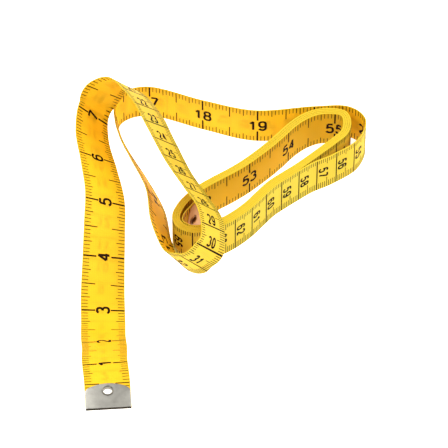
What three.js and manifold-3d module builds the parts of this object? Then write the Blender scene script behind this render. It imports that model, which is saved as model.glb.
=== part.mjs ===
// A coated cloth tape measure, thrown down in loose loops as it lies on a table.
// One long strip stands on its edge in a flattened coil, swings round a wide outer loop, climbs over
// both and runs out to a raised free end. A folded metal tip with an eyelet closes each end.
// Millimetres, +Z up, with the origin at the middle of the footprint on the table.
import * as THREE from 'three';
import { mergeVertices } from 'three/addons/utils/BufferGeometryUtils.js';
import Module from 'manifold-3d';

// Strip of coated cloth
const STRIP_WIDTH = 19;
const STRIP_THICKNESS = 0.4;
const STRIP_STEP = 2.6;

// Coil: turns of the strip on edge, each one pitch inside the turn before it.
// Along the far wall, between two shares of the way round, every pitch is up to the slack wider.
const TURN_GAP = 0.49;
const TURN_PITCH = STRIP_THICKNESS + TURN_GAP;
const COIL_TURNS = 4;
const STATIONS_PER_TURN = 30;
const FAR_WALL_SLACK = 0.1;
const FAR_WALL_FROM = 0.42;
const FAR_WALL_TO = 0.9;

// Folded metal tip, whose free edges are arched; it is a little narrower than the strip
const TIP_SHEET = 0.3;
const TIP_CLEARANCE = 0.2;
const TIP_SIDE_MARGIN = 0.15;
const TIP_WIDTH = STRIP_WIDTH - 2 * TIP_SIDE_MARGIN;
const TIP_SIDE_LENGTH = 10;
const TIP_ARCH_RISE = 2.7;
const TIP_MIDDLE_LENGTH = TIP_SIDE_LENGTH + TIP_ARCH_RISE;
const TIP_FOLD_STEPS = 10;

// Eyelet through the tip and the strip
const EYELET_BORE = 3.6;
const EYELET_WALL = 0.2;
const EYELET_FLANGE_WIDTH = 0.3;
const EYELET_FLANGE_THICKNESS = 0.25;
const EYELET_CLEARANCE = 0.15;
const EYELET_INSET = 3.8;
const EYELET_SETBACK = TIP_MIDDLE_LENGTH - EYELET_INSET;
const ROUND_STEPS = 32;

// Route of the strip's middle line: x, y, height of its lower edge, and lean of its width in degrees.
// A lean of 0 lies flat with the inch side up; 90 stands on edge with the inch side facing inward.
// The first point of the free end and the last of the inner end only steer the straight tips.
// Heights are above the table, but above the standing walls' top edges on the bridge that crosses them.
const FREE_END = [
  [-47.5, -123.2, 17.2, 0],
  [-48, -109.2, 23.1, 0],
  [-49.5, -94.1, 20.1, 0],
  [-50, -82.1, 13.6, 0],
  [-51, -69.8, 5.8, 1],
  [-51.5, -57, 0.8, 3],
  [-52, -43, 1, 10],
  [-51.9, -30, 4, 19],
  [-51.6, -16, 11, 23],
  [-51.7, -0.5, 14.5, 27],
  [-54.7, 17, 14.5, 33],
  [-58, 35, 13, 40],
  [-57.3, 50.1, 13.5, 57],
];
const BRIDGE = [
  [-50.6, 53.6, 2.8, 103],
  [-42.8, 50.2, 8.6, 130],
  [-33.8, 37.1, 9, 133],
  [-27.4, 23.4, 6.5, 132],
  [-19.9, 6.6, 4, 131],
  [-11.7, -8, 2.5, 131],
  [-5.8, -20, 1.5, 128],
];
const OUTER_LOOP = [
  [-5.3, -32.2, 13.6, 112],
  [-12.6, -35.7, 6.6, 71],
  [-21.2, -28.4, 1, 60],
  [-27, -16.4, 4.6, 62],
  [-30.1, 3.6, 3.7, 65],
  [-38.6, 26, 1.5, 67],
  [-46, 44, 0.5, 77],
  [-47.1, 59.6, 0.1, 89],
  [-33.5, 65.7, 0, 91],
  [-9, 57.1, 0, 91],
  [14, 50.6, 0, 88.5],
  [39.5, 53, 0, 88],
  [55.2, 53.2, 0, 89],
  [62.7, 45.2, 0, 90],
  [58.9, 33, 0, 90],
  [48, 24.2, 0, 90],
  [39.4, 19.4, 0, 90],
];

// Plan of the coil's outermost turn, a closed line that every turn follows
const COIL_GUIDE = [
  [33.5, 15],
  [21.9, 5.1],
  [11.9, -7.3],
  [1, -16.8],
  [-12.8, -21.8],
  [-21.8, -16.4],
  [-20.3, -5.6],
  [-11, 6],
  [6, 19],
  [19.5, 32.5],
  [31.5, 46.5],
  [43.1, 52.6],
  [54.8, 50.3],
  [55.8, 38.2],
  [45.5, 26.5],
];

// Inner end: how far round the guide past the last whole turn, and how far it draws in from the coil
const INNER_END = [
  [0.26, 0.1],
  [0.285, 0.15],
  [0.32, 0.5],
  [0.358, 1.3],
  [0.389, 4],
];

const UP = new THREE.Vector3(0, 0, 1);
const STANDING = 90;

const wasm = await Module();
wasm.setup();

// Solids: a closed geometry becomes a manifold body for cutting, and goes back to a geometry
function solidOf(geometry) {
  const bare = geometry.clone();
  bare.deleteAttribute('normal');
  bare.deleteAttribute('uv');
  const merged = mergeVertices(bare, 1e-5);
  return new wasm.Manifold(new wasm.Mesh({
    numProp: 3,
    vertProperties: new Float32Array(merged.attributes.position.array),
    triVerts: new Uint32Array(merged.index.array),
  }));
}

function geometryOf(solid) {
  const mesh = solid.getMesh();
  const geometry = new THREE.BufferGeometry();
  geometry.setAttribute('position', new THREE.Float32BufferAttribute(mesh.vertProperties, 3));
  geometry.setIndex(new THREE.Uint32BufferAttribute(mesh.triVerts, 1));
  geometry.computeVertexNormals();
  return geometry;
}

// Stations along the route: the middle of the width, and its lean
function station([x, y, foot, lean], base = 0) {
  const rise = Math.sin(THREE.MathUtils.degToRad(lean)) * STRIP_WIDTH / 2;
  return { point: new THREE.Vector3(x, y, base + foot + rise), lean };
}

const guideCorners = COIL_GUIDE.map(([x, y]) => new THREE.Vector3(x, y, 0));
const guide = new THREE.CatmullRomCurve3(guideCorners, true, 'catmullrom', 0.5);

function pitchAt(turn) {
  const share = THREE.MathUtils.mapLinear(turn % 1, FAR_WALL_FROM, FAR_WALL_TO, 0, 1);
  return TURN_PITCH + FAR_WALL_SLACK * Math.sin(Math.PI * THREE.MathUtils.clamp(share, 0, 1));
}

function turnStation(turn, drawnIn = 0) {
  const inward = guide.getTangentAt(turn % 1).cross(UP);
  const distance = pitchAt(turn) * turn + drawnIn;
  const point = guide.getPointAt(turn % 1).addScaledVector(inward, distance);
  return station([point.x, point.y, 0, STANDING]);
}

function coilStations() {
  const [innerStart] = INNER_END[0];
  const count = Math.floor((COIL_TURNS + innerStart) * STATIONS_PER_TURN);
  const turns = [];
  for (let k = 0; k <= count; k += 1) {
    turns.push(turnStation(k / STATIONS_PER_TURN));
  }
  return turns;
}

const route = [
  ...FREE_END.map((row) => station(row)),
  ...BRIDGE.map((row) => station(row, STRIP_WIDTH)),
  ...OUTER_LOOP.map((row) => station(row)),
  ...coilStations(),
  ...INNER_END.map(([past, drawnIn]) => turnStation(COIL_TURNS + past, drawnIn)),
];

// Sections: at each step the middle point, the way along, the way to the left edge and the inch side
function section(point, along, lean) {
  const side = UP.clone().cross(along).normalize();
  const rise = along.clone().cross(side);
  const angle = THREE.MathUtils.degToRad(lean);
  const left = side.multiplyScalar(Math.cos(angle)).addScaledVector(rise, Math.sin(angle));
  return { point, along, left, face: along.clone().cross(left) };
}

function moved(from, distance) {
  return { ...from, point: from.point.clone().addScaledVector(from.along, distance) };
}

function stripSections() {
  const line = new THREE.CatmullRomCurve3(route.map((s) => s.point), false, 'catmullrom', 0.5);
  const leans = new THREE.CatmullRomCurve3(
    route.map((s) => new THREE.Vector3(s.lean, 0, 0)), false, 'catmullrom', 0.5);
  const spans = route.length - 1;
  const at = (t) => section(line.getPoint(t), line.getTangent(t), leans.getPoint(t).x);
  const sections = [];
  for (let k = 1; k < spans - 1; k += 1) {
    const steps = Math.ceil(route[k].point.distanceTo(route[k + 1].point) / STRIP_STEP);
    for (let j = 0; j < steps; j += 1) {
      sections.push(at((k + j / steps) / spans));
    }
  }
  sections.push(at((spans - 1) / spans));
  // The stretches that the tips hold run straight on to the ends
  const held = TIP_MIDDLE_LENGTH - TIP_SHEET - TIP_CLEARANCE;
  sections.unshift(moved(sections[0], -held));
  sections.push(moved(sections.at(-1), held));
  return sections;
}

function stripGeometry(sections) {
  const corners = [];
  for (const { point, left, face } of sections) {
    for (const [across, out] of [[1, 1], [-1, 1], [-1, -1], [1, -1]]) {
      const corner = point.clone().addScaledVector(left, across * STRIP_WIDTH / 2);
      corner.addScaledVector(face, out * STRIP_THICKNESS / 2);
      corners.push(corner.x, corner.y, corner.z);
    }
  }
  const last = (sections.length - 1) * 4;
  const triangles = [0, 3, 2, 0, 2, 1, last, last + 1, last + 2, last, last + 2, last + 3];
  for (let ring = 0; ring < last; ring += 4) {
    for (let side = 0; side < 4; side += 1) {
      const a = ring + side;
      const b = ring + (side + 1) % 4;
      triangles.push(a, b, b + 4, a, b + 4, a + 4);
    }
  }
  const geometry = new THREE.BufferGeometry();
  geometry.setAttribute('position', new THREE.Float32BufferAttribute(corners, 3));
  geometry.setIndex(triangles);
  return geometry;
}

// Tip and eyelet, in a frame with X from the folded edge inward, Y across and Z out of the inch side
const tipHalf = STRIP_THICKNESS / 2 + TIP_CLEARANCE + TIP_SHEET;
const eyeletOuter = EYELET_BORE / 2 + EYELET_WALL;

function roundedFold(shape, radius, centre) {
  for (let k = 0; k <= TIP_FOLD_STEPS; k += 1) {
    const angle = Math.PI / 2 + Math.PI * k / TIP_FOLD_STEPS;
    shape.push(new THREE.Vector2(centre + radius * Math.cos(angle), radius * Math.sin(angle)));
  }
}

function foldedSheet() {
  const outer = [new THREE.Vector2(TIP_MIDDLE_LENGTH, tipHalf)];
  roundedFold(outer, tipHalf, tipHalf);
  outer.push(new THREE.Vector2(TIP_MIDDLE_LENGTH, -tipHalf));
  const inner = [new THREE.Vector2(TIP_MIDDLE_LENGTH, tipHalf - TIP_SHEET)];
  roundedFold(inner, tipHalf - TIP_SHEET, tipHalf);
  inner.push(new THREE.Vector2(TIP_MIDDLE_LENGTH, TIP_SHEET - tipHalf));
  const profile = new THREE.Shape([...outer, ...inner.reverse()]);
  const sheet = new THREE.ExtrudeGeometry(profile, { depth: TIP_WIDTH, bevelEnabled: false });
  sheet.rotateX(Math.PI / 2);
  sheet.translate(0, TIP_WIDTH / 2, 0);
  return solidOf(sheet);
}

function archedOutline() {
  const half = TIP_WIDTH / 2;
  const outline = new THREE.Shape();
  outline.moveTo(-tipHalf, -half);
  outline.lineTo(TIP_SIDE_LENGTH, -half);
  outline.quadraticCurveTo(2 * TIP_MIDDLE_LENGTH - TIP_SIDE_LENGTH, 0, TIP_SIDE_LENGTH, half);
  outline.lineTo(-tipHalf, half);
  const prism = new THREE.ExtrudeGeometry(outline, { depth: 4 * tipHalf, bevelEnabled: false });
  prism.translate(0, 0, -2 * tipHalf);
  return solidOf(prism);
}

function eyeletHole() {
  const radius = eyeletOuter + EYELET_CLEARANCE;
  const hole = new THREE.CylinderGeometry(radius, radius, 8 * tipHalf, ROUND_STEPS);
  hole.rotateX(Math.PI / 2);
  hole.translate(EYELET_SETBACK, 0, 0);
  return hole;
}

function tipGeometry() {
  return geometryOf(foldedSheet().intersect(archedOutline()).subtract(solidOf(eyeletHole())));
}

function eyeletGeometry() {
  const bore = EYELET_BORE / 2;
  const flange = eyeletOuter + EYELET_CLEARANCE + EYELET_FLANGE_WIDTH;
  const seat = tipHalf + EYELET_CLEARANCE;
  const top = seat + EYELET_FLANGE_THICKNESS;
  const lip = flange - EYELET_FLANGE_THICKNESS / 2;
  const half = [[eyeletOuter, seat], [flange, seat], [flange, (seat + top) / 2], [lip, top], [bore, top]];
  const mirrored = half.map(([radius, height]) => [radius, -height]).reverse();
  const profile = [...mirrored, ...half, mirrored[0]];
  const points = profile.map(([radius, height]) => new THREE.Vector2(radius, height));
  const turned = new THREE.LatheGeometry(points, ROUND_STEPS);
  turned.rotateX(Math.PI / 2);
  return geometryOf(solidOf(turned));
}

// Frame of a tip: its folded edge lies past the strip's end, and its X axis points back along the strip
function tipFrame(end, inward) {
  const along = end.along.clone().multiplyScalar(inward);
  const across = end.face.clone().cross(along);
  const fold = end.point.clone().addScaledVector(along, -TIP_SHEET - TIP_CLEARANCE);
  return new THREE.Matrix4().makeBasis(along, across, end.face).setPosition(fold);
}

// Materials
const coatedCloth = new THREE.MeshStandardMaterial({ color: 0xf2c417, roughness: 0.5, metalness: 0 });
const platedSteel = new THREE.MeshStandardMaterial({ color: 0xb4b2aa, roughness: 0.35, metalness: 1 });
const eyeletSteel = new THREE.MeshStandardMaterial({ color: 0x9c9a92, roughness: 0.3, metalness: 1 });

// Assembly
const sections = stripSections();
const outerFrame = tipFrame(sections[0], 1);
const innerFrame = tipFrame(sections.at(-1), -1);
const outerHole = solidOf(eyeletHole().applyMatrix4(outerFrame));
const innerHole = solidOf(eyeletHole().applyMatrix4(innerFrame));
const strip = solidOf(stripGeometry(sections)).subtract(outerHole).subtract(innerHole);

const loops = new THREE.Group();
loops.add(named('strip', geometryOf(strip), coatedCloth));
for (const [end, frame] of [['outer', outerFrame], ['inner', innerFrame]]) {
  const holder = new THREE.Group();
  holder.applyMatrix4(frame);
  holder.add(named(`${end}_tip`, tipGeometry(), platedSteel));
  const eyelet = named(`${end}_eyelet`, eyeletGeometry(), eyeletSteel);
  eyelet.position.x = EYELET_SETBACK;
  holder.add(eyelet);
  loops.add(holder);
}

function named(name, geometry, material) {
  const mesh = new THREE.Mesh(geometry, material);
  mesh.name = name;
  return mesh;
}

// The middle of the footprint goes to the origin
loops.updateMatrixWorld(true);
const box = new THREE.Box3().setFromObject(loops, true);
const middle = box.getCenter(new THREE.Vector3());
loops.position.set(-middle.x, -middle.y, -box.min.z);

// The length over both tips is that of a 60 inch tape
let stripLength = 0;
sections.slice(1).forEach(({ point }, k) => {
  stripLength += point.distanceTo(sections[k].point);
});
const total = stripLength + 2 * (TIP_SHEET + TIP_CLEARANCE);
console.log(`Length over the tips ${total.toFixed(1)} mm`);

const group = new THREE.Group();
group.add(loops);
export default group;
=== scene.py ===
"""A coated cloth tape measure that lies in loose loops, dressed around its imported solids."""

import math

import bmesh
import bpy
import numpy as np
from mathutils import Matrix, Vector


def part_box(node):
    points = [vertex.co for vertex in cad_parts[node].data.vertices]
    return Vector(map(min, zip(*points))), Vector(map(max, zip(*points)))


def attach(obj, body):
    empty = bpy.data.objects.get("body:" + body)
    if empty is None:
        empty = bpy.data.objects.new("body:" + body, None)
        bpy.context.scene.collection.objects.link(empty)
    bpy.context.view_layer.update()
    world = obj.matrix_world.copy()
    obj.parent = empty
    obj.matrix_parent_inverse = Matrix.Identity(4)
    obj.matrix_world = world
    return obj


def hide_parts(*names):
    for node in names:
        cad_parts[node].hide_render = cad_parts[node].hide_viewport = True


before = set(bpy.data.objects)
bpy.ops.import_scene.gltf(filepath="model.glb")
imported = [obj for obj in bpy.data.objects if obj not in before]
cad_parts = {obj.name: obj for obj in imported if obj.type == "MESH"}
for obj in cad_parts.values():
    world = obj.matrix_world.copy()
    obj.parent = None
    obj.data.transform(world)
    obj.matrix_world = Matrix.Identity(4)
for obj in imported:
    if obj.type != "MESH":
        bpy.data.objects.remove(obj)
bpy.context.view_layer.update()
scene = bpy.context.scene

# Camera
# A long lens on a stand looks down at the table from the front.
# Its focal length is written in pixels of the square picture that it takes.
MM = 0.001
PICTURE_PX = 448
FOCAL_PX = 3310
SENSOR_MM = 36
CAMERA_DISTANCE = 1450 * MM
CAMERA_ELEVATION = math.radians(48)
PICTURE_MIDDLE = Vector((1.19, 28.19, 0)) * MM

lens = bpy.data.cameras.new("camera")
lens.sensor_width = SENSOR_MM
lens.lens = SENSOR_MM * FOCAL_PX / PICTURE_PX
camera = bpy.data.objects.new("camera", lens)
backwards = Vector((0, -math.cos(CAMERA_ELEVATION), math.sin(CAMERA_ELEVATION)))
camera.location = PICTURE_MIDDLE + backwards * CAMERA_DISTANCE
camera.rotation_euler = backwards.to_track_quat("Z", "Y").to_euler()
scene.collection.objects.link(camera)
scene.camera = camera

# Strip, the way that it lies
# One cloth strip, 60 inches long, stands on edge in a flattened coil, swings round a wide outer loop,
# climbs over both and runs out to a raised free end. Its line follows the solid's, in millimetres.
STRIP_WIDTH = 19
SOLID_THICKNESS = 0.4
TURN_PITCH = 0.89
COIL_TURNS = 4
FAR_WALL_SLACK = 0.1
FAR_WALL_FROM = 0.42
FAR_WALL_TO = 0.9
STATIONS_PER_TURN = 30
STANDING = 90

# Each row has x, y, height of the lower edge and lean of the width in degrees. The bridge's heights
# are above the standing walls that it crosses, and the others' above the table.
FREE_END = [
    (-47.5, -123.2, 17.2, 0),
    (-48, -109.2, 23.1, 0),
    (-49.5, -94.1, 20.1, 0),
    (-50, -82.1, 13.6, 0),
    (-51, -69.8, 5.8, 1),
    (-51.5, -57, 0.8, 3),
    (-52, -43, 1, 10),
    (-51.9, -30, 4, 19),
    (-51.6, -16, 11, 23),
    (-51.7, -0.5, 14.5, 27),
    (-54.7, 17, 14.5, 33),
    (-58, 35, 13, 40),
    (-57.3, 50.1, 13.5, 57),
]
BRIDGE = [
    (-50.6, 53.6, 2.8, 103),
    (-42.8, 50.2, 8.6, 130),
    (-33.8, 37.1, 9, 133),
    (-27.4, 23.4, 6.5, 132),
    (-19.9, 6.6, 4, 131),
    (-11.7, -8, 2.5, 131),
    (-5.8, -20, 1.5, 128),
]
OUTER_LOOP = [
    (-5.3, -32.2, 13.6, 112),
    (-12.6, -35.7, 6.6, 71),
    (-21.2, -28.4, 1, 60),
    (-27, -16.4, 4.6, 62),
    (-30.1, 3.6, 3.7, 65),
    (-38.6, 26, 1.5, 67),
    (-46, 44, 0.5, 77),
    (-47.1, 59.6, 0.1, 89),
    (-33.5, 65.7, 0, 91),
    (-9, 57.1, 0, 91),
    (14, 50.6, 0, 88.5),
    (39.5, 53, 0, 88),
    (55.2, 53.2, 0, 89),
    (62.7, 45.2, 0, 90),
    (58.9, 33, 0, 90),
    (48, 24.2, 0, 90),
    (39.4, 19.4, 0, 90),
]
# Plan of the coil's outermost turn, which every turn follows, and of the inner end: how far round the
# plan past the last whole turn, and how far it draws in from the coil.
COIL_GUIDE = [
    (33.5, 15),
    (21.9, 5.1),
    (11.9, -7.3),
    (1, -16.8),
    (-12.8, -21.8),
    (-21.8, -16.4),
    (-20.3, -5.6),
    (-11, 6),
    (6, 19),
    (19.5, 32.5),
    (31.5, 46.5),
    (43.1, 52.6),
    (54.8, 50.3),
    (55.8, 38.2),
    (45.5, 26.5),
]
INNER_END = [(0.26, 0.1), (0.285, 0.15), (0.32, 0.5), (0.358, 1.3), (0.389, 4)]


def through(rows, steps):
    """A smooth curve through all rows but the first and last, with so many steps to a span."""
    before, start, end, after = rows[:-3], rows[1:-2], rows[2:-1], rows[3:]
    t = np.arange(steps)[:, None, None] / steps
    curve = (
        2 * start
        + (end - before) * t
        + (2 * before - 5 * start + 4 * end - after) * t**2
        + (3 * start - before - 3 * end + after) * t**3
    ) / 2
    return np.vstack([curve.transpose(1, 0, 2).reshape(-1, rows.shape[1]), end[-1:]])


def travelled(points):
    """How far along the line each of its points is."""
    steps = np.linalg.norm(np.diff(points, axis=0), axis=1)
    return np.concatenate([[0], np.cumsum(steps)])


def unit(vectors):
    """The same directions, one long."""
    return vectors / np.linalg.norm(vectors, axis=1)[:, None]


def stations(rows, base=0):
    """Middle of the strip's width, and its lean, at each row."""
    table = np.array(rows, float)
    table[:, 2] += base + np.sin(np.radians(table[:, 3])) * STRIP_WIDTH / 2
    return table


CURVE_STEPS = 40
guide_rows = np.array(COIL_GUIDE, float)
guide = through(np.vstack([guide_rows[-1:], guide_rows, guide_rows[:2]]), CURVE_STEPS)
guide_share = travelled(guide) / travelled(guide)[-1]
guide_way = unit(np.gradient(guide, guide_share, axis=0))


def turn_row(turn, drawn_in=0):
    """A standing row of the coil, so many turns in from its start, with its far wall wound looser."""
    share = turn % 1
    x, y = (np.interp(share, guide_share, column) for column in guide.T)
    way_x, way_y = (np.interp(share, guide_share, column) for column in guide_way.T)
    loose = np.interp(share, [FAR_WALL_FROM, FAR_WALL_TO], [0, math.pi])
    inward = (TURN_PITCH + FAR_WALL_SLACK * math.sin(loose)) * turn + drawn_in
    return (x + way_y * inward, y - way_x * inward, 0, STANDING)


coil_count = math.floor((COIL_TURNS + INNER_END[0][0]) * STATIONS_PER_TURN)
coil_rows = [turn_row(k / STATIONS_PER_TURN) for k in range(coil_count + 1)]
coil_rows += [turn_row(COIL_TURNS + past, drawn_in) for past, drawn_in in INNER_END]
route = np.vstack(
    [stations(FREE_END), stations(BRIDGE, STRIP_WIDTH), stations(OUTER_LOOP), stations(coil_rows)]
)

# The line in even steps, with the straight stretches that the metal tips hold at both ends.
STRIP_STEP = 0.75
TIP_SHEET = 0.3
TIP_CLEARANCE = 0.2
TIP_SIDE_LENGTH = 10
TIP_LENGTH = 12.7
strip_start = TIP_SHEET + TIP_CLEARANCE
held = TIP_LENGTH - strip_start
fine = through(route, CURVE_STEPS)
fine_travel = travelled(fine[:, :3])
even = np.linspace(0, fine_travel[-1], round(fine_travel[-1] / STRIP_STEP) + 1)
run = np.stack([np.interp(even, fine_travel, column) for column in fine.T], axis=1)
lead = np.linspace(-held, 0, round(held / STRIP_STEP) + 1)[:-1]
first_way = unit(run[1:2, :3] - run[:1, :3])
last_way = unit(run[-1:, :3] - run[-2:-1, :3])
lead_in = np.hstack([run[0, :3] + lead[:, None] * first_way, np.full((len(lead), 1), run[0, 3])])
lead_out = np.hstack([run[-1, :3] - lead[::-1, None] * last_way, np.full((len(lead), 1), run[-1, 3])])
line = np.vstack([lead_in, run, lead_out])

# At each step: how far along from the tip's folded edge, and the ways along, to the left edge and out of
# the inch side, which faces the inside of the coil and of the outer loop.
along = strip_start + travelled(line[:, :3])
strip_length = along[-1] + strip_start
middle = line[:, :3]
way = unit(np.gradient(middle, along, axis=0))
side = unit(np.cross([0, 0, 1], way))
lean = np.radians(line[:, 3:])
left = np.cos(lean) * side + np.sin(lean) * np.cross(way, side)
face = np.cross(way, left)
corners = [
    middle + across * left * STRIP_WIDTH / 2 + out * face * SOLID_THICKNESS / 2
    for across in (-1, 1)
    for out in (-1, 1)
]
solid_low, solid_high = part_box("strip")
to_frame = np.array(
    [
        solid_low.x - np.min(corners, axis=(0, 1))[0] * MM,
        solid_high.y - np.max(corners, axis=(0, 1))[1] * MM,
        solid_low.z - np.min(corners, axis=(0, 1))[2] * MM,
    ]
)


def on_strip(s, across, lift):
    """Places in metres, from millimetres along the strip, to its left edge and out of its inch side."""
    s, across, lift = np.broadcast_arrays(s, across, lift)
    at = [
        np.stack([np.interp(s, along, column) for column in table.T], axis=-1)
        for table in (middle, left, face)
    ]
    return (at[0] + across[..., None] * at[1] + lift[..., None] * at[2]) * MM + to_frame


# Strip, its cloth
# Woven cloth coated with vinyl on both sides and slit to width, so its cut edges are a little eased.
# In the coil it is drawn nearly as thick as the pitch, because there the turns lie against each other.
FREE_THICKNESS = 0.5
COIL_THICKNESS = 0.8
EDGE_EASE = 0.1
# Where it thickens and thins again, measured from the coil's start and from where its inner end leaves it.
COIL_JOINS = (-25, 25)
INNER_LEAVES = (-12, 4)
coil_start = len(FREE_END) + len(BRIDGE) + len(OUTER_LOOP)
coil_from = TIP_LENGTH + fine_travel[(coil_start - 1) * CURVE_STEPS]
inner_from = TIP_LENGTH + fine_travel[(coil_start + coil_count) * CURVE_STEPS]


def half_thickness(s):
    """Half the drawn thickness at a place along the strip."""
    joins = [coil_from + past for past in COIL_JOINS]
    leaves = [inner_from + past for past in INNER_LEAVES]
    packed = np.interp(s, joins + leaves, [0, 1, 1, 0])
    return (FREE_THICKNESS + (COIL_THICKNESS - FREE_THICKNESS) * packed) / 2


def lofted(name, rings, closed=False):
    """A mesh through rings of points, each joined to the next, with flat ends unless it closes up."""
    rings = np.asarray(rings, float)
    count, size = rings.shape[:2]
    faces = []
    for i in range(count if closed else count - 1):
        near = i * size
        far = (i + 1) % count * size
        for j in range(size):
            k = (j + 1) % size
            faces.append((near + j, near + k, far + k, far + j))
    if not closed:
        faces.append(tuple(range(size - 1, -1, -1)))
        faces.append(tuple(range((count - 1) * size, count * size)))
    mesh = bpy.data.meshes.new(name)
    mesh.from_pydata(rings.reshape(-1, 3).tolist(), [], faces)
    return mesh


def carved(mesh, operation, tools):
    """The mesh after other closed meshes are joined to it, cut from it or kept inside it."""
    body = bpy.data.objects.new("body", mesh)
    scene.collection.objects.link(body)
    helpers = []
    for tool in tools:
        helper = bpy.data.objects.new("tool", tool)
        scene.collection.objects.link(helper)
        step = body.modifiers.new("step", "BOOLEAN")
        step.operation = operation
        step.solver = "EXACT"
        step.object = helper
        helpers.append(helper)
    view = bpy.context.evaluated_depsgraph_get()
    result = bpy.data.meshes.new_from_object(body.evaluated_get(view))
    for used in (body, *helpers):
        bpy.data.objects.remove(used)
    return result


def piece(name, mesh, material):
    """An object of the part that rides on its one body."""
    made = bpy.data.objects.new(name, mesh)
    mesh.materials.clear()
    mesh.materials.append(material)
    scene.collection.objects.link(made)
    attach(made, "root")
    return made


def shaded(mesh, sharp_degrees):
    """Smooth shading that keeps edges sharper than an angle."""
    mesh.shade_smooth()
    mesh.set_sharp_from_angle(angle=math.radians(sharp_degrees))
    return mesh


def linear(hex_colour):
    """A colour written as sRGB hex, as the linear values that shaders take, by the sRGB formula."""
    levels = [int(hex_colour[k : k + 2], 16) / 255 for k in (1, 3, 5)]
    return [v / 12.92 if v <= 0.04045 else ((v + 0.055) / 1.055) ** 2.4 for v in levels] + [1]


def add_node(tree, kind, inputs=None, **settings):
    """Adds a shader node: each input is a value or the output of another node."""
    made = tree.nodes.new(kind)
    for name, value in settings.items():
        setattr(made, name, value)
    for name, value in (inputs or {}).items():
        if isinstance(value, bpy.types.NodeSocket):
            tree.links.new(value, made.inputs[name])
        else:
            made.inputs[name].default_value = value
    return made


def new_material(name):
    """An empty node material and its node tree."""
    made = bpy.data.materials.new(name)
    made.use_nodes = True
    made.node_tree.nodes.clear()
    return made, made.node_tree


# Vinyl over plain-woven cloth: satin yellow, and thin enough to glow warm where light comes through it.
# The weave's valleys are painted a deeper yellow than its crossings, as painted shade for the threads'
# relief. The inch side is golden, and the centimetre side is painted a paler lemon, a painted highlight
# for the stronger light on that side. The threads are drawn twice as coarse as the real half millimetre, so
# that they show.
INCH_SIDE_YELLOW = "#FED428"
INCH_SIDE_DEEP = "#F8BA12"
# The centimetre side's paler lemon is a painted highlight, for the stronger light on that side.
CENTIMETRE_SIDE_YELLOW = "#EDDC48"
CENTIMETRE_SIDE_DEEP = "#DEC22C"
CLOTH_GLOW = "#FFD858"
GLOW_SHARE = 0.4
THREAD_MM = 1.0
THREAD_PAINTED_SHADE = 0.35
THREAD_RELIEF_MM = 0.05
THREAD_RELIEF_SHARE = 0.5
MOTTLE_MM = 30
MOTTLE_DETAIL = 4
COAT_GLOSSIEST = 0.5
COAT_DULLEST = 0.65
COAT_SPECULAR = 0.2
# A wave texture has 20 / (2 pi) bands to a unit.
BANDS_PER_UNIT = 20 / (2 * math.pi)


def coated_cloth(name, bright, deep):
    """Woven cloth under a vinyl coat, whose tone and gloss change slowly along the strip."""
    made, tree = new_material(name)
    flat_place = add_node(tree, "ShaderNodeUVMap", uv_map="flat_cloth")
    thread_scale = 1 / (THREAD_MM * MM * BANDS_PER_UNIT)
    warp = add_node(
        tree,
        "ShaderNodeTexWave",
        {"Vector": flat_place.outputs["UV"], "Scale": thread_scale},
        bands_direction="X",
    )
    weft = add_node(
        tree,
        "ShaderNodeTexWave",
        {"Vector": flat_place.outputs["UV"], "Scale": thread_scale},
        bands_direction="Y",
    )
    weave = add_node(
        tree,
        "ShaderNodeMath",
        {0: warp.outputs["Fac"], 1: weft.outputs["Fac"]},
        operation="MULTIPLY",
    )
    mottle = add_node(
        tree,
        "ShaderNodeTexNoise",
        {"Vector": flat_place.outputs["UV"], "Scale": 1 / (MOTTLE_MM * MM), "Detail": MOTTLE_DETAIL},
    )
    # Painted shade: the weave's valleys get the deeper yellow, and the mottle shifts the tone at random
    # along the strip.
    weave_shade_and_mottle = add_node(
        tree,
        "ShaderNodeMath",
        {0: weave.outputs["Value"], 1: -THREAD_PAINTED_SHADE, 2: mottle.outputs["Fac"]},
        operation="MULTIPLY_ADD",
    )
    yellow = add_node(
        tree,
        "ShaderNodeMix",
        {"Factor": weave_shade_and_mottle.outputs["Value"], "A": linear(bright), "B": linear(deep)},
        data_type="RGBA",
    )
    gloss = add_node(
        tree,
        "ShaderNodeMapRange",
        {"Value": mottle.outputs["Fac"], "To Min": COAT_GLOSSIEST, "To Max": COAT_DULLEST},
    )
    relief = add_node(
        tree,
        "ShaderNodeBump",
        {
            "Height": weave.outputs["Value"],
            "Strength": THREAD_RELIEF_SHARE,
            "Distance": THREAD_RELIEF_MM * MM,
        },
    )
    coat = add_node(
        tree,
        "ShaderNodeBsdfPrincipled",
        {
            "Base Color": yellow.outputs["Result"],
            "Roughness": gloss.outputs["Result"],
            "Normal": relief.outputs["Normal"],
            "Specular IOR Level": COAT_SPECULAR,
        },
    )
    glow = add_node(tree, "ShaderNodeBsdfTranslucent", {"Color": linear(CLOTH_GLOW)})
    thin_cloth = add_node(
        tree,
        "ShaderNodeMixShader",
        {0: GLOW_SHARE, 1: coat.outputs["BSDF"], 2: glow.outputs["BSDF"]},
    )
    add_node(tree, "ShaderNodeOutputMaterial", {"Surface": thin_cloth.outputs["Shader"]})
    return made


golden_coat = coated_cloth("golden_vinyl_coated_cloth", INCH_SIDE_YELLOW, INCH_SIDE_DEEP)
# The paler lemon coat is a painted highlight for the light on the centimetre side.
painted_lit_lemon_coat = coated_cloth("lemon_cloth_painted_lit", CENTIMETRE_SIDE_YELLOW, CENTIMETRE_SIDE_DEEP)


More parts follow.
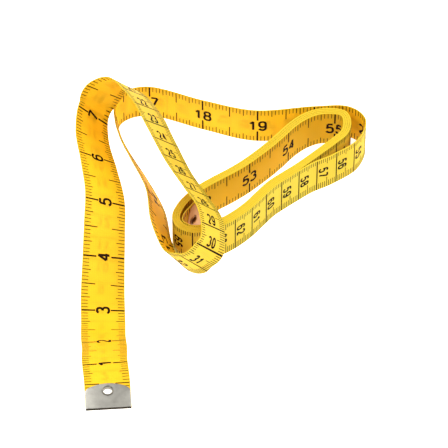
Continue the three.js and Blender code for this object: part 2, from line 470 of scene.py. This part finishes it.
def strip_mesh():
    """The whole strip, with eased edges and its flat place along and across in a UV map, in metres."""
    half = half_thickness(along)
    edge = np.full_like(along, STRIP_WIDTH / 2)
    ring = [
        (edge - EDGE_EASE, half),
        (EDGE_EASE - edge, half),
        (-edge, half - EDGE_EASE),
        (-edge, EDGE_EASE - half),
        (EDGE_EASE - edge, -half),
        (edge - EDGE_EASE, -half),
        (edge, EDGE_EASE - half),
        (edge, half - EDGE_EASE),
    ]
    rings = np.stack([on_strip(along, across, lift) for across, lift in ring], axis=1)
    mesh = lofted("strip", rings)
    flat = np.stack([np.stack([along, across], axis=1) for across, _ in ring], axis=1).reshape(-1, 2)
    corner_of = np.empty(len(mesh.loops), int)
    mesh.loops.foreach_get("vertex_index", corner_of)
    layer = mesh.uv_layers.new(name="flat_cloth")
    layer.uv.foreach_set("vector", (flat[corner_of] * MM).ravel())
    return mesh


# Tip frames: each has its place at the tip's folded edge, its X axis back along the strip, and Z out of
# the inch side.
EYELET_SETBACK = 8.9


def in_tip(end, points):
    """Places in metres of points in a tip's own frame, in millimetres."""
    points = np.asarray(points, float)
    inward = 1 if end == "outer" else -1
    row = 0 if end == "outer" else -1
    start = middle[row] - inward * strip_start * way[row]
    x_axis = inward * way[row]
    z_axis = face[row]
    y_axis = np.cross(z_axis, x_axis)
    turned = points[..., 0:1] * x_axis + points[..., 1:2] * y_axis + points[..., 2:3] * z_axis
    return (start + turned) * MM + to_frame


def circle(radius, height, count):
    """Points round the eyelet's axis, in a tip's own frame."""
    angles = np.arange(count) * 2 * math.pi / count
    x = EYELET_SETBACK + radius * np.cos(angles)
    y = radius * np.sin(angles)
    return np.stack([x, y, np.full(count, height)], axis=1)


EYELET_TUBE = 2.0
HOLE_CLEARANCE = 0.1
HOLE_REACH = 4
ROUND_STEPS = 48


def hole(end):
    """A rod that cuts an eyelet's hole."""
    rings = [circle(EYELET_TUBE + HOLE_CLEARANCE, z, ROUND_STEPS) for z in (-HOLE_REACH, HOLE_REACH)]
    return lofted("hole", in_tip(end, rings))


STRIP_CREASE_DEGREES = 30
cloth = carved(strip_mesh(), "DIFFERENCE", [hole("outer"), hole("inner")])
strip = piece("cloth_strip", shaded(cloth, STRIP_CREASE_DEGREES), golden_coat)
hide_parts("strip")

# Slitting bares the threads between the two coats, so the edges are a drier, duller yellow. The threads'
# ends are drawn coarser than the real half millimetre too.
EDGE_PALE = "#DABC34"
EDGE_DEEP = "#CEAC2A"
EDGE_ROUGHNESS = 0.85
EDGE_SPECULAR = 0.1
THREAD_ENDS_MM = 0.8
THREAD_ENDS_DETAIL = 3

slit_edge, tree = new_material("slit_cloth_edge")
edge_place = add_node(tree, "ShaderNodeUVMap", uv_map="flat_cloth")
thread_ends = add_node(
    tree,
    "ShaderNodeTexNoise",
    {
        "Vector": edge_place.outputs["UV"],
        "Scale": 1 / (THREAD_ENDS_MM * MM),
        "Detail": THREAD_ENDS_DETAIL,
    },
)
edge_colour = add_node(
    tree,
    "ShaderNodeMix",
    {"Factor": thread_ends.outputs["Fac"], "A": linear(EDGE_PALE), "B": linear(EDGE_DEEP)},
    data_type="RGBA",
)
edge_threads = add_node(
    tree,
    "ShaderNodeBsdfPrincipled",
    {
        "Base Color": edge_colour.outputs["Result"],
        "Roughness": EDGE_ROUGHNESS,
        "Specular IOR Level": EDGE_SPECULAR,
    },
)
add_node(tree, "ShaderNodeOutputMaterial", {"Surface": edge_threads.outputs["BSDF"]})

# The order in which the strip's mesh holds its materials.
GOLDEN_SIDE, SLIT_EDGE, PAINTED_LIT_LEMON_SIDE = range(3)
cloth.materials.append(slit_edge)
cloth.materials.append(painted_lit_lemon_coat)
flat_at = cloth.uv_layers["flat_cloth"].uv
for polygon in cloth.polygons:
    s, across = np.mean([flat_at[k].vector for k in polygon.loop_indices], axis=0) / MM
    inch_way = [np.interp(s, along, column) for column in face.T]
    if abs(across) > STRIP_WIDTH / 2 - EDGE_EASE:
        polygon.material_index = SLIT_EDGE
    elif np.dot(polygon.normal, inch_way) > 0:
        polygon.material_index = GOLDEN_SIDE
    else:
        polygon.material_index = PAINTED_LIT_LEMON_SIDE

# Scales, their lines
# Both sides are printed before the tips go on, with ink that lies a few hundredths proud of the coat:
# inches in sixteenths on one side, and centimetres in millimetres on the other.
INCH = 25.4
CENTIMETRE = 10
INK_SUNK = 0.02
INK_PROUD = 0.03
EDGE_MARGIN = 0.25
INCH_SIDE = 1
CENTIMETRE_SIDE = -1

# Screen-printing ink: a thin matt film, brown-black and a little uneven.
INK_BROWN = "#170D05"
INK_WORN = "#2A1B0B"
INK_MOTTLE_MM = 4
INK_MOTTLE_DETAIL = 3
INK_ROUGHNESS = 0.6
INK_SPECULAR = 0.03

printing_ink, tree = new_material("printing_ink")
ink_place = add_node(tree, "ShaderNodeTexCoord")
ink_mottle = add_node(
    tree,
    "ShaderNodeTexNoise",
    {
        "Vector": ink_place.outputs["Object"],
        "Scale": 1 / (INK_MOTTLE_MM * MM),
        "Detail": INK_MOTTLE_DETAIL,
    },
)
ink_colour = add_node(
    tree,
    "ShaderNodeMix",
    {"Factor": ink_mottle.outputs["Fac"], "A": linear(INK_BROWN), "B": linear(INK_WORN)},
    data_type="RGBA",
)
ink_film = add_node(
    tree,
    "ShaderNodeBsdfPrincipled",
    {
        "Base Color": ink_colour.outputs["Result"],
        "Roughness": INK_ROUGHNESS,
        "Specular IOR Level": INK_SPECULAR,
    },
)
add_node(tree, "ShaderNodeOutputMaterial", {"Surface": ink_film.outputs["BSDF"]})

BOX_CORNERS = np.array([(x, y, z) for x in (0, 1) for y in (0, 1) for z in (0, 1)])
BOX_FACES = [(0, 1, 3, 2), (4, 6, 7, 5), (0, 4, 5, 1), (2, 3, 7, 6), (0, 2, 6, 4), (1, 5, 7, 3)]


def printed(name, shapes):
    """One mesh of many ink shapes, each given as its places along, across and out, with its faces."""
    places = []
    faces = []
    count = 0
    for points, sides in shapes:
        places.append(points)
        faces += [tuple(k + count for k in corners) for corners in sides]
        count += len(points)
    flat = np.vstack(places)
    mesh = bpy.data.meshes.new(name)
    mesh.from_pydata(on_strip(flat[:, 0], flat[:, 1], flat[:, 2]).tolist(), [], faces)
    return mesh


def bar(side_out, s, width, low, high):
    """A straight ink bar across the strip, between two places across."""
    points = BOX_CORNERS * [width, high - low, INK_PROUD + INK_SUNK] + [s - width / 2, low, -INK_SUNK]
    points[:, 2] = side_out * (half_thickness(points[:, 0]) + points[:, 2])
    faces = BOX_FACES if side_out > 0 else [corners[::-1] for corners in BOX_FACES]
    return points, faces


def edge_bars(side_out, s, width, left_reach, right_reach):
    """Two ink bars, in from the left edge and from the right one."""
    outer = STRIP_WIDTH / 2 - EDGE_MARGIN
    return [
        bar(side_out, s, width, outer - left_reach, outer),
        bar(side_out, s, width, -outer, right_reach - outer),
    ]


def shown(s):
    """Whether a place along the strip is clear of both tips' sides."""
    return TIP_SIDE_LENGTH < s < strip_length - TIP_SIDE_LENGTH


# Sixteenths, quarters, halves and whole inches: width of the bar and its reaches from both edges.
SIXTEENTH = (0.28, 2.8, 2.8)
QUARTER = (0.34, 3.7, 3.7)
HALF = (0.44, 5.9, 5.9)
WHOLE_INCH = (0.72, 5.9, 5.9)
SIXTEENTHS = 16


def inch_bar(k):
    """The kind of bar at so many sixteenths of an inch."""
    if k % SIXTEENTHS == 0:
        return WHOLE_INCH
    if k % (SIXTEENTHS // 2) == 0:
        return HALF
    if k % (SIXTEENTHS // 4) == 0:
        return QUARTER
    return SIXTEENTH


inch_bars = []
for k in range(1, int(strip_length / INCH * SIXTEENTHS)):
    s = k * INCH / SIXTEENTHS
    if shown(s):
        inch_bars += edge_bars(INCH_SIDE, s, *inch_bar(k))

# Millimetres and fives from both edges, and a line right across at each centimetre, thick at each ten.
MILLIMETRE = (0.26, 2.3, 3.9)
FIVE = (0.28, 3.6, 6.2)
CENTIMETRE_LINE = 0.55
TEN_LINE = 0.72
HALF_CENTIMETRE = CENTIMETRE // 2
TEN_CENTIMETRES = 10 * CENTIMETRE
centimetre_bars = []
for k in range(1, int(strip_length)):
    if not shown(k):
        continue
    if k % CENTIMETRE == 0:
        line_width = TEN_LINE if k % TEN_CENTIMETRES == 0 else CENTIMETRE_LINE
        reach = STRIP_WIDTH / 2 - EDGE_MARGIN
        centimetre_bars.append(bar(CENTIMETRE_SIDE, k, line_width, -reach, reach))
    else:
        kind = FIVE if k % HALF_CENTIMETRE == 0 else MILLIMETRE
        centimetre_bars += edge_bars(CENTIMETRE_SIDE, k, *kind)

inch_lines = piece("inch_lines", printed("inch_lines", inch_bars), printing_ink)
centimetre_lines = piece("centimetre_lines", printed("centimetre_lines", centimetre_bars), printing_ink)

# Scales, their numbers
# Plain printed figures without serifs: bold on the inch side, where they read along the strip, and
# narrow on the centimetre side, where they read across it from the left edge.
ARC_STEP = math.radians(20)
SQUARENESS = 2.4


def arc(x, y, across, up, start, end):
    """Points of a slightly squared oval, between two angles in degrees, in shares of a figure's box."""
    start, end = math.radians(start), math.radians(end)
    angles = np.linspace(start, end, math.ceil(abs(end - start) / ARC_STEP) + 1)
    cos, sin = np.cos(angles), np.sin(angles)
    bulge = 2 / SQUARENESS
    px = x + across * np.sign(cos) * np.abs(cos) ** bulge
    py = y + up * np.sign(sin) * np.abs(sin) ** bulge
    return np.stack([px, py], axis=1)


def path(*points):
    """A straight-sided stroke through the points."""
    return np.array(points, float)


six = [
    arc(0.5, 0.31, 0.5, 0.31, 0, 360),
    np.vstack([path((0, 0.31)), arc(0.5, 0.66, 0.5, 0.34, 180, 25)]),
]
FIGURES = {
    "0": [arc(0.5, 0.5, 0.5, 0.5, 0, 360)],
    "1": [path((0.62, 0), (0.62, 1)), path((0.66, 0.97), (0.14, 0.72))],
    "2": [np.vstack([arc(0.5, 0.71, 0.5, 0.29, 165, -35), path((0.03, 0))]), path((0, 0), (1, 0))],
    "3": [arc(0.48, 0.765, 0.44, 0.235, 160, -90), arc(0.48, 0.265, 0.52, 0.265, 90, -160)],
    "4": [path((0.74, 1), (0, 0.27)), path((0, 0.27), (1, 0.27)), path((0.74, 0), (0.74, 1))],
    "5": [
        path((0.14, 1), (0.93, 1)),
        path((0.16, 1), (0.08, 0.47)),
        arc(0.48, 0.315, 0.52, 0.315, 140, -160),
    ],
    "6": six,
    "7": [path((0, 1), (1, 1)), path((1, 1), (0.32, 0))],
    "8": [arc(0.5, 0.765, 0.44, 0.235, 0, 360), arc(0.5, 0.265, 0.5, 0.265, 0, 360)],
    "9": [1 - stroke for stroke in six],
}


def stroke_mesh(points, weight):
    """A flat bar of ink that follows a stroke's middle line."""
    closed = np.allclose(points[0], points[-1])
    points = points[:-1] if closed else points
    if closed:
        before, after = np.roll(points, 1, axis=0), np.roll(points, -1, axis=0)
    else:
        before = np.vstack([2 * points[:1] - points[1:2], points[:-1]])
        after = np.vstack([points[1:], 2 * points[-1:] - points[-2:-1]])
    first, second = unit(points - before), unit(after - points)
    normal = np.stack([-first[:, 1] - second[:, 1], first[:, 0] + second[:, 0]], axis=1)
    normal /= (1 + np.sum(first * second, axis=1))[:, None]
    sides = [points - normal * weight / 2, points + normal * weight / 2]
    ring = [(sides[1], INK_PROUD), (sides[0], INK_PROUD), (sides[0], -INK_SUNK), (sides[1], -INK_SUNK)]
    rings = np.stack([np.hstack([xy, np.full((len(xy), 1), z)]) for xy, z in ring], axis=1)
    return lofted("stroke", rings, closed)


# Edges shorter than this, which the joins and cuts leave, are taken out.
FIGURE_FINEST = 0.002


def figure_shape(figure, width, height, weight, cut_axis):
    """Points and faces of one figure, lying flat, cut into slices that can bend with the strip."""
    box = np.array([width - weight, height - weight])
    strokes = [stroke_mesh(stroke * box + weight / 2, weight) for stroke in FIGURES[figure]]
    mesh = carved(strokes[0], "UNION", strokes[1:])
    work = bmesh.new()
    work.from_mesh(mesh)
    size = (width, height)[cut_axis]
    cut_way = (1, 0, 0) if cut_axis == 0 else (0, 1, 0)
    for place in np.arange(STRIP_STEP, size, STRIP_STEP):
        spot = [0, 0, 0]
        spot[cut_axis] = place
        everything = work.verts[:] + work.edges[:] + work.faces[:]
        bmesh.ops.bisect_plane(work, geom=everything, plane_co=spot, plane_no=cut_way)
    bmesh.ops.dissolve_degenerate(work, dist=FIGURE_FINEST, edges=work.edges[:])
    bmesh.ops.triangulate(work, faces=work.faces[:])
    work.verts.index_update()
    points = np.array([v.co[:] for v in work.verts])
    faces = [tuple(v.index for v in f.verts) for f in work.faces]
    work.free()
    return points, faces


# Each figure's width, height and weight of stroke.
INCH_FIGURE = (3.95, 6.15, 1.05)
INCH_FIGURE_GAP = 0.5
inch_figures = {f: figure_shape(f, *INCH_FIGURE, cut_axis=0) for f in FIGURES}
inch_shapes = []
for inch in range(1, int(strip_length / INCH)):
    word = str(inch)
    pitch = INCH_FIGURE[0] + INCH_FIGURE_GAP
    start = inch * INCH - (len(word) * pitch - INCH_FIGURE_GAP) / 2
    for k, figure in enumerate(word):
        points, faces = inch_figures[figure]
        s = start + k * pitch + points[:, 0]
        across = points[:, 1] - INCH_FIGURE[1] / 2
        lift = half_thickness(s) + points[:, 2]
        inch_shapes.append((np.stack([s, across, lift], axis=1), faces))

CENTIMETRE_FIGURE = (2.75, 4.8, 0.85)
CENTIMETRE_FIGURE_GAP = 0.5
CENTIMETRE_FIGURE_FOOT = 0.8
CENTIMETRE_FIGURE_SHIFT = 0.7
FIRST_CLEAR_CENTIMETRE = 2
centimetre_figures = {f: figure_shape(f, *CENTIMETRE_FIGURE, cut_axis=1) for f in FIGURES}
centimetre_shapes = []
for centimetre in range(FIRST_CLEAR_CENTIMETRE, int(strip_length / CENTIMETRE)):
    word = str(centimetre)
    pitch = CENTIMETRE_FIGURE[0] + CENTIMETRE_FIGURE_GAP
    start = (len(word) * pitch - CENTIMETRE_FIGURE_GAP) / 2 + CENTIMETRE_FIGURE_SHIFT
    for k, figure in enumerate(word):
        points, faces = centimetre_figures[figure]
        s = centimetre * CENTIMETRE - CENTIMETRE_FIGURE_FOOT - points[:, 1]
        across = start - k * pitch - points[:, 0]
        lift = -half_thickness(s) - points[:, 2]
        centimetre_shapes.append((np.stack([s, across, lift], axis=1), faces))

inch_numbers = piece("inch_numbers", printed("inch_numbers", inch_shapes), printing_ink)
centimetre_numbers = piece(
    "centimetre_numbers", printed("centimetre_numbers", centimetre_shapes), printing_ink
)

# Tips
# Each end is closed by a plate of thin nickel-plated steel, folded over it and pressed flat, so that its
# free edges slope down to the cloth. They are arched across the strip.
TIP_SIDE_MARGIN = 0.15
TIP_BORDER = 0.55
TIP_BORDER_DROP = 0.2
TIP_SHOULDER = 1.4
TIP_FOLD_STEPS = 16
TIP_CREASE_DEGREES = 25
# How far in from the folded edge the plate is painted dark, as painted shade.
FOLD_SHADE_REACH = 0.45
ARCH_STEPS = 24
# Steps in each rounded shoulder, and steps of the arch whose place it takes.
SHOULDER_STEPS = 6
SHOULDER_CUT = 3
tip_half = SOLID_THICKNESS / 2 + TIP_CLEARANCE + TIP_SHEET

# Nickel on steel sheet: dull grey and cloudy on the outer tip. The inner one is painted brown, a painted
# reflection of the orange cloth that closes round it in the coil. The rub marks are drawn coarser than the
# real ones, which are too fine to show.
NICKEL = "#8A877F"
NICKEL_RUBBED = "#C4C1B7"
NICKEL_PAINTED_REFLECTION = "#B98652"
NICKEL_PAINTED_REFLECTION_PALE = "#D0A272"
PLATE_GLOSSIEST = 0.4
PLATE_DULLEST = 0.58
CLOUD_MM = 6
CLOUD_DETAIL = 5
CLOUD_CRISPNESS = 0.75
RUB_MM = 0.35
RUB_DETAIL = 6
RUB_RELIEF_MM = 0.03
RUB_RELIEF_SHARE = 0.15


def plated(name, dull, rubbed, least_rough, most_rough):
    """Thin plating on metal, clouded and rubbed to a fine grain by handling."""
    made, tree = new_material(name)
    place = add_node(tree, "ShaderNodeTexCoord")
    cloud = add_node(
        tree,
        "ShaderNodeTexNoise",
        {
            "Vector": place.outputs["Object"],
            "Scale": 1 / (CLOUD_MM * MM),
            "Detail": CLOUD_DETAIL,
            "Roughness": CLOUD_CRISPNESS,
        },
    )
    rub = add_node(
        tree,
        "ShaderNodeTexNoise",
        {"Vector": place.outputs["Object"], "Scale": 1 / (RUB_MM * MM), "Detail": RUB_DETAIL},
    )
    colour = add_node(
        tree,
        "ShaderNodeMix",
        {"Factor": cloud.outputs["Fac"], "A": linear(dull), "B": linear(rubbed)},
        data_type="RGBA",
    )
    rough = add_node(
        tree,
        "ShaderNodeMapRange",
        {"Value": rub.outputs["Fac"], "To Min": least_rough, "To Max": most_rough},
    )
    grain = add_node(
        tree,
        "ShaderNodeBump",
        {
            "Height": rub.outputs["Fac"],
            "Strength": RUB_RELIEF_SHARE,
            "Distance": RUB_RELIEF_MM * MM,
        },
    )
    plate = add_node(
        tree,
        "ShaderNodeBsdfPrincipled",
        {
            "Base Color": colour.outputs["Result"],
            "Metallic": 1.0,
            "Roughness": rough.outputs["Result"],
            "Normal": grain.outputs["Normal"],
        },
    )
    add_node(tree, "ShaderNodeOutputMaterial", {"Surface": plate.outputs["BSDF"]})
    return made


plate_gloss = (PLATE_GLOSSIEST, PLATE_DULLEST)
plate_of = {
    "outer": plated("nickel_plated_sheet", NICKEL, NICKEL_RUBBED, *plate_gloss),
    # The inner tip's brown is a painted reflection of the orange cloth round it.
    "inner": plated("nickel_sheet_painted_orange", NICKEL_PAINTED_REFLECTION, NICKEL_PAINTED_REFLECTION_PALE, *plate_gloss),
}


def bent(start, control, end, steps):
    """Points of a simple curve from start to end, drawn towards a control point."""
    t = np.linspace(0, 1, steps + 1)[:, None]
    return (1 - t) ** 2 * np.array(start) + 2 * t * (1 - t) * np.array(control) + t**2 * np.array(end)


def tip_outline(inset):
    """Outline of a tip seen from above, drawn in by an inset."""
    half = STRIP_WIDTH / 2 - TIP_SIDE_MARGIN - inset
    shoulder = TIP_SIDE_LENGTH - inset
    crown = 2 * (TIP_LENGTH - inset) - shoulder
    arch = bent((shoulder, half), (crown, 0), (shoulder, -half), ARCH_STEPS)
    side_end = shoulder - TIP_SHOULDER
    first, last = SHOULDER_CUT, ARCH_STEPS - SHOULDER_CUT
    one_side = bent((side_end, half), (shoulder, half), arch[first], SHOULDER_STEPS)
    other_side = bent(arch[last], (shoulder, -half), (side_end, -half), SHOULDER_STEPS)
    rear = [(-tip_half, -half), (-tip_half, half)]
    return np.vstack([one_side, arch[first + 1 : last], other_side, rear])


def tip_block(end):
    """A block with the tip's arched outline, sloped along its borders, and taller than the folded sheet."""
    levels = [
        (-tip_half - TIP_BORDER_DROP, 2 * TIP_BORDER),
        (-tip_half + TIP_BORDER_DROP, 0),
        (tip_half - TIP_BORDER_DROP, 0),
        (tip_half + TIP_BORDER_DROP, 2 * TIP_BORDER),
    ]
    rings = []
    for height, inset in levels:
        outline = tip_outline(inset)[::-1]
        rings.append(np.hstack([outline, np.full((len(outline), 1), height)]))
    return lofted("tip_block", in_tip(end, rings))


SHEET_SPARE = 1


def folded_sheet(end):
    """A sheet folded round the strip's end, as wide as the strip and long enough to cut the arch from."""
    angles = np.linspace(math.pi / 2, 3 * math.pi / 2, TIP_FOLD_STEPS + 1)
    profile = []
    for radius, order in ((tip_half, 1), (tip_half - TIP_SHEET, -1)):
        fold = np.stack([tip_half + radius * np.cos(angles), radius * np.sin(angles)], axis=1)
        reach = TIP_LENGTH + SHEET_SPARE
        profile += [(reach, radius), *fold, (reach, -radius)][::order]
    profile = np.array(profile)
    rings = [
        np.stack([profile[:, 0], np.full(len(profile), y), profile[:, 1]], axis=1)
        for y in (STRIP_WIDTH / 2, -STRIP_WIDTH / 2)
    ]
    return lofted("folded_sheet", in_tip(end, rings))


# Along the fold the plate is painted a dark grey-brown metal, as painted shade on the folded edge.
FOLD_SHADE_DARK = "#2B2823"
FOLD_SHADE_BROWN = "#4A443C"
FOLD_SHADE_ROUGHNESS = 0.5
FOLD_SHADE_MM = 2
FOLD_SHADE_DETAIL = 4

painted_fold_shade, tree = new_material("painted_shade_at_the_fold")
fold_shade_place = add_node(tree, "ShaderNodeTexCoord")
fold_shade_cloud = add_node(
    tree,
    "ShaderNodeTexNoise",
    {"Vector": fold_shade_place.outputs["Object"], "Scale": 1 / (FOLD_SHADE_MM * MM), "Detail": FOLD_SHADE_DETAIL},
)
fold_shade_colour = add_node(
    tree,
    "ShaderNodeMix",
    {"Factor": fold_shade_cloud.outputs["Fac"], "A": linear(FOLD_SHADE_DARK), "B": linear(FOLD_SHADE_BROWN)},
    data_type="RGBA",
)
fold_shade_skin = add_node(
    tree,
    "ShaderNodeBsdfPrincipled",
    {"Base Color": fold_shade_colour.outputs["Result"], "Metallic": 1.0, "Roughness": FOLD_SHADE_ROUGHNESS},
)
add_node(tree, "ShaderNodeOutputMaterial", {"Surface": fold_shade_skin.outputs["BSDF"]})

for end in ("outer", "inner"):
    plate = carved(folded_sheet(end), "INTERSECT", [tip_block(end)])
    plate = carved(plate, "DIFFERENCE", [hole(end)])
    plate = shaded(plate, TIP_CREASE_DEGREES)
    tip = piece(f"{end}_metal_tip", plate, plate_of[end])
    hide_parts(f"{end}_tip")
    # Faces near the folded edge get the painted shade.
    plate.materials.append(painted_fold_shade)
    fold_edge, fold_inside = (Vector(place) for place in in_tip(end, [(0, 0, 0), (1, 0, 0)]))
    for polygon in plate.polygons:
        inward = (polygon.center - fold_edge).dot((fold_inside - fold_edge).normalized())
        polygon.material_index = int(inward < FOLD_SHADE_REACH * MM)

# Eyelets
# A hollow steel rivet, nickel-plated, goes through tip and strip, and its ends are rolled outward into
# round rims that stand proud of the tip on both faces.
EYELET_BORE = 1.8
EYELET_RIM = 2.45
EYELET_SEAT = 0.05
EYELET_RIM_HEIGHT = 0.36
ROLL_STEPS = 8
EYELET_CREASE_DEGREES = 40

# Nickel that is smoother than the sheet's, and painted a darker grey, as painted shade for the shaded
# inside of its bore.
# On the inner end it is painted brown, a painted reflection of the orange cloth round it, as its tip is.
EYELET_GREY = "#6A665C"
EYELET_BRIGHT = "#8E8A80"
EYELET_PAINTED_REFLECTION = "#8A5E36"
EYELET_PAINTED_REFLECTION_PALE = "#B08050"
EYELET_GLOSSIEST = 0.3
EYELET_DULLEST = 0.5
eyelet_gloss = (EYELET_GLOSSIEST, EYELET_DULLEST)
eyelet_metal = {
    "outer": plated("nickel_plated_eyelet", EYELET_GREY, EYELET_BRIGHT, *eyelet_gloss),
    "inner": plated("eyelet_painted_orange", EYELET_PAINTED_REFLECTION, EYELET_PAINTED_REFLECTION_PALE, *eyelet_gloss),
}


def eyelet_mesh(end):
    """A tube with a rolled rim at each end."""
    roll_middle = (EYELET_BORE + EYELET_RIM) / 2
    roll_reach = (EYELET_RIM - EYELET_BORE) / 2
    seat = tip_half + EYELET_SEAT
    angles = np.linspace(math.pi, 0, ROLL_STEPS + 1)
    rim = [
        (roll_middle + roll_reach * math.cos(a), seat + EYELET_RIM_HEIGHT * math.sin(a)) for a in angles
    ]
    upper = [*rim, (EYELET_TUBE, seat)]
    lower = [(radius, -height) for radius, height in upper[::-1]]
    rings = [circle(radius, height, ROUND_STEPS) for radius, height in (upper + lower)[::-1]]
    return lofted("eyelet", in_tip(end, rings), closed=True)


for end in ("outer", "inner"):
    rolled = shaded(eyelet_mesh(end), EYELET_CREASE_DEGREES)
    eyelet = piece(f"{end}_rolled_eyelet", rolled, eyelet_metal[end])
    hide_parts(f"{end}_eyelet")

# Table and light
# A white acrylic table, lit from below so that nothing throws a shadow on it. Four large soft lights
# stand round it, at the front right, front left, right and back left, in a dim white room.
TABLE_HALF = 4.0
TABLE_WHITE = "#FAFAFA"
TABLE_LIT = "#FFFFFF"
TABLE_GLOW = 0.85
TABLE_ROUGHNESS = 0.9

table_paint, tree = new_material("lit_white_acrylic")
table_skin = add_node(
    tree,
    "ShaderNodeBsdfPrincipled",
    {
        "Base Color": linear(TABLE_WHITE),
        "Roughness": TABLE_ROUGHNESS,
        "Emission Color": linear(TABLE_LIT),
        "Emission Strength": TABLE_GLOW,
    },
)
add_node(tree, "ShaderNodeOutputMaterial", {"Surface": table_skin.outputs["BSDF"]})
table_mesh = bpy.data.meshes.new("table")
table_corners = [(x * TABLE_HALF, y * TABLE_HALF, 0) for x, y in ((-1, -1), (1, -1), (1, 1), (-1, 1))]
table_mesh.from_pydata(table_corners, [], [(0, 1, 2, 3)])
table_mesh.materials.append(table_paint)
table = bpy.data.objects.new("table", table_mesh)
scene.collection.objects.link(table)

# Each square light's place in metres, from which it faces the middle of the table, and its watts.
LIGHTS = {
    "front_light": ((0.6, -0.85, 1.3), 9),
    "left_light": ((-0.75, -0.9, 0.9), 11),
    "right_light": ((1.1, 0.25, 1.05), 21),
    "back_light": ((-0.8, 0.8, 0.9), 15),
}
LIGHT_SIZE = 1.0
for name, (place, watts) in LIGHTS.items():
    lamp = bpy.data.lights.new(name, "AREA")
    lamp.size = LIGHT_SIZE
    lamp.energy = watts
    light = bpy.data.objects.new(name, lamp)
    light.location = place
    light.rotation_euler = Vector(place).to_track_quat("Z", "Y").to_euler()
    scene.collection.objects.link(light)

WALL_WHITE = "#FFFFFF"
WALL_LIGHT = 0.25
walls = bpy.data.worlds.new("white_walls")
walls.use_nodes = True
walls.node_tree.nodes.clear()
wall_light = add_node(
    walls.node_tree, "ShaderNodeBackground", {"Color": linear(WALL_WHITE), "Strength": WALL_LIGHT}
)
add_node(walls.node_tree, "ShaderNodeOutputWorld", {"Surface": wall_light.outputs["Background"]})
scene.world = walls
scene.view_settings.view_transform = "Standard"
